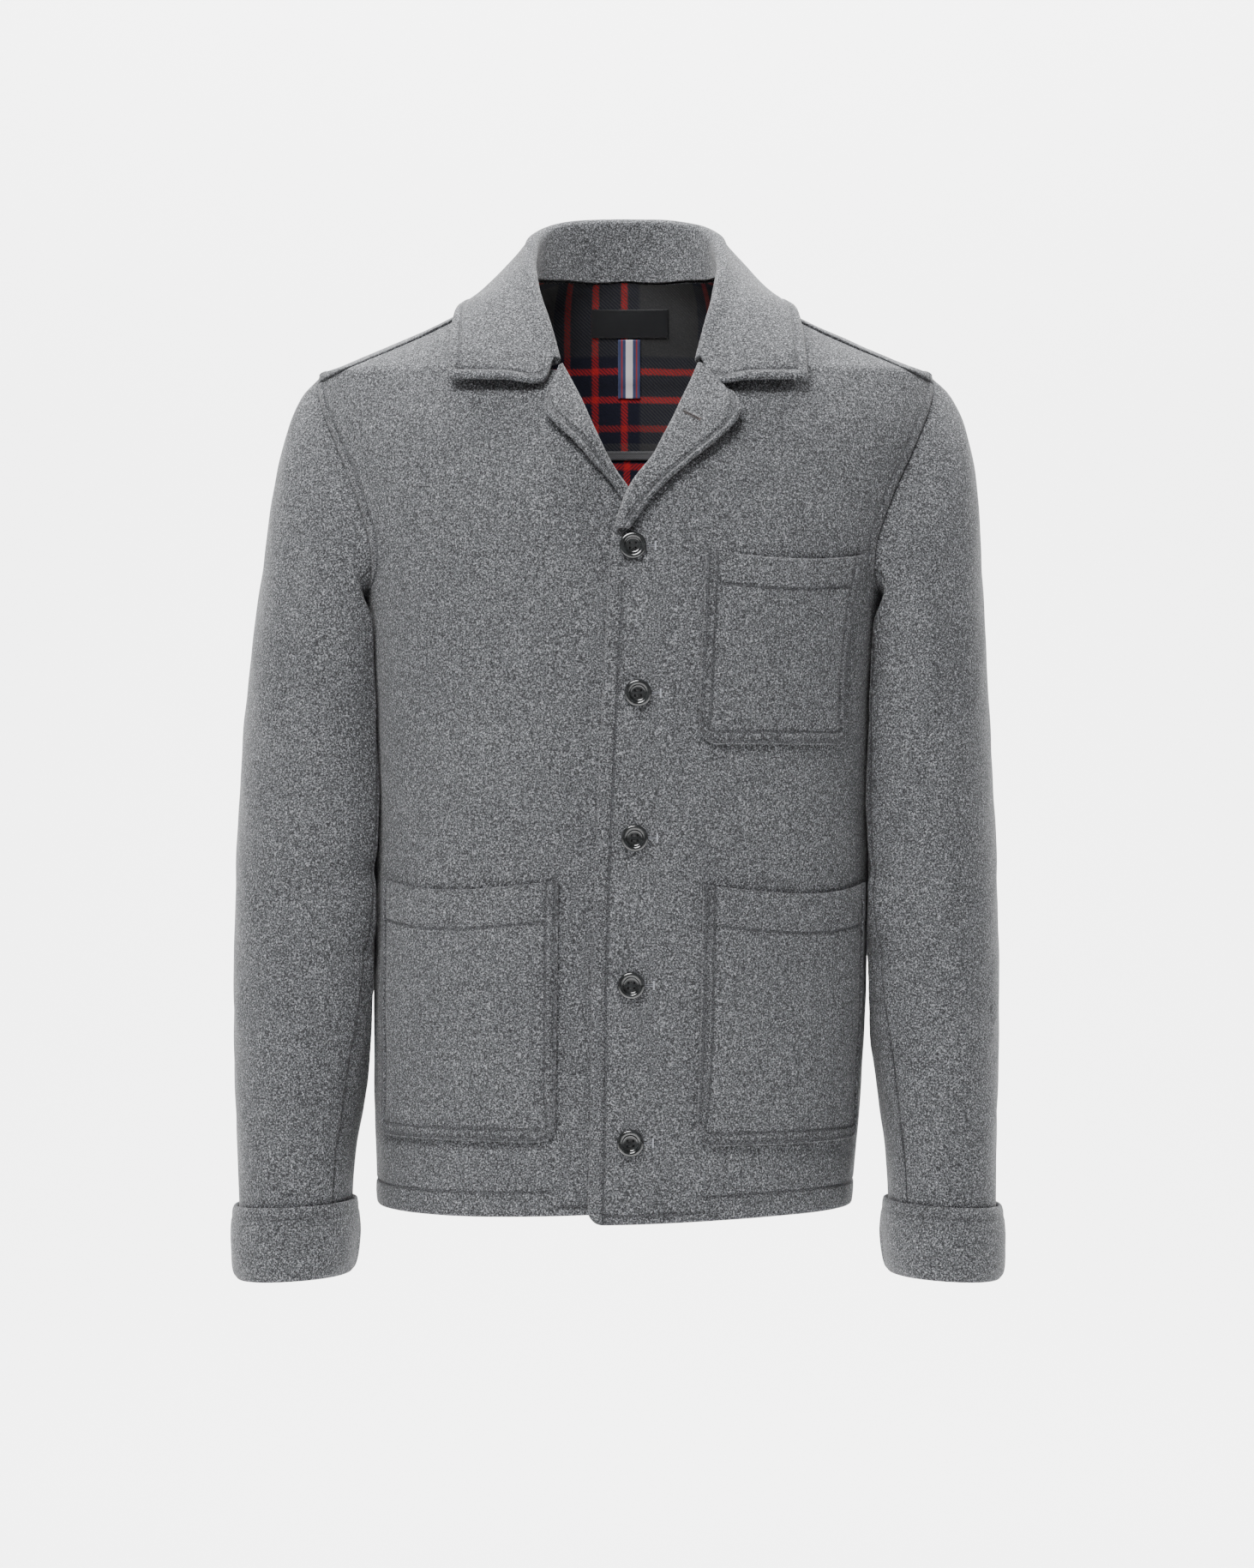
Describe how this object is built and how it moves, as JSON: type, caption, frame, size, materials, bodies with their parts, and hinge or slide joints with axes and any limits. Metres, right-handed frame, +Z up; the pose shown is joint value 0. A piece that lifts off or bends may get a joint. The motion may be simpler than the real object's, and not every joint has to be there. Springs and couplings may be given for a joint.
{
  "type": "donkey jacket",
  "caption": "Hip-length wool work jacket with notched lapels, a patch pocket on the chest, patch pockets at the hips, turned-back cuffs and a buttoned front.",
  "frame": {"origin": "middle of the neck opening, level with the inner ends of the shoulder seams, where the wearer's shoulders carry the jacket", "axes": "+Z up, -Y towards the front, +X towards the wearer's left"},
  "size_m": [0.5829, 0.2638, 0.8114],
  "materials": {
    "grey_wool": "heavy brushed wool, mid grey with lighter and darker flecks, matt",
    "dark_horn": "near-black, polished",
    "black_label": "plain black satin weave",
    "navy_ribbon": "navy ribbed ribbon with a pale stripe and a thin red one"
  },
  "bodies": {
    "root": {"front_left": "grey_wool", "front_right": "grey_wool", "back": "grey_wool", "back_yoke": "grey_wool", "lapel_left": "grey_wool", "lapel_right": "grey_wool", "collar": "grey_wool", "top_sleeve_left": "grey_wool", "under_sleeve_left": "grey_wool", "cuff_left": "grey_wool", "top_sleeve_right": "grey_wool", "under_sleeve_right": "grey_wool", "cuff_right": "grey_wool", "chest_pocket": "grey_wool", "hip_pocket_left": "grey_wool", "hip_pocket_right": "grey_wool", "yoke_tape": "grey_wool", "button_1": "dark_horn", "button_2": "dark_horn", "button_3": "dark_horn", "button_4": "dark_horn", "button_5": "dark_horn", "neck_label": "black_label", "hanging_ribbon": "navy_ribbon"}
  },
  "joints": []
}
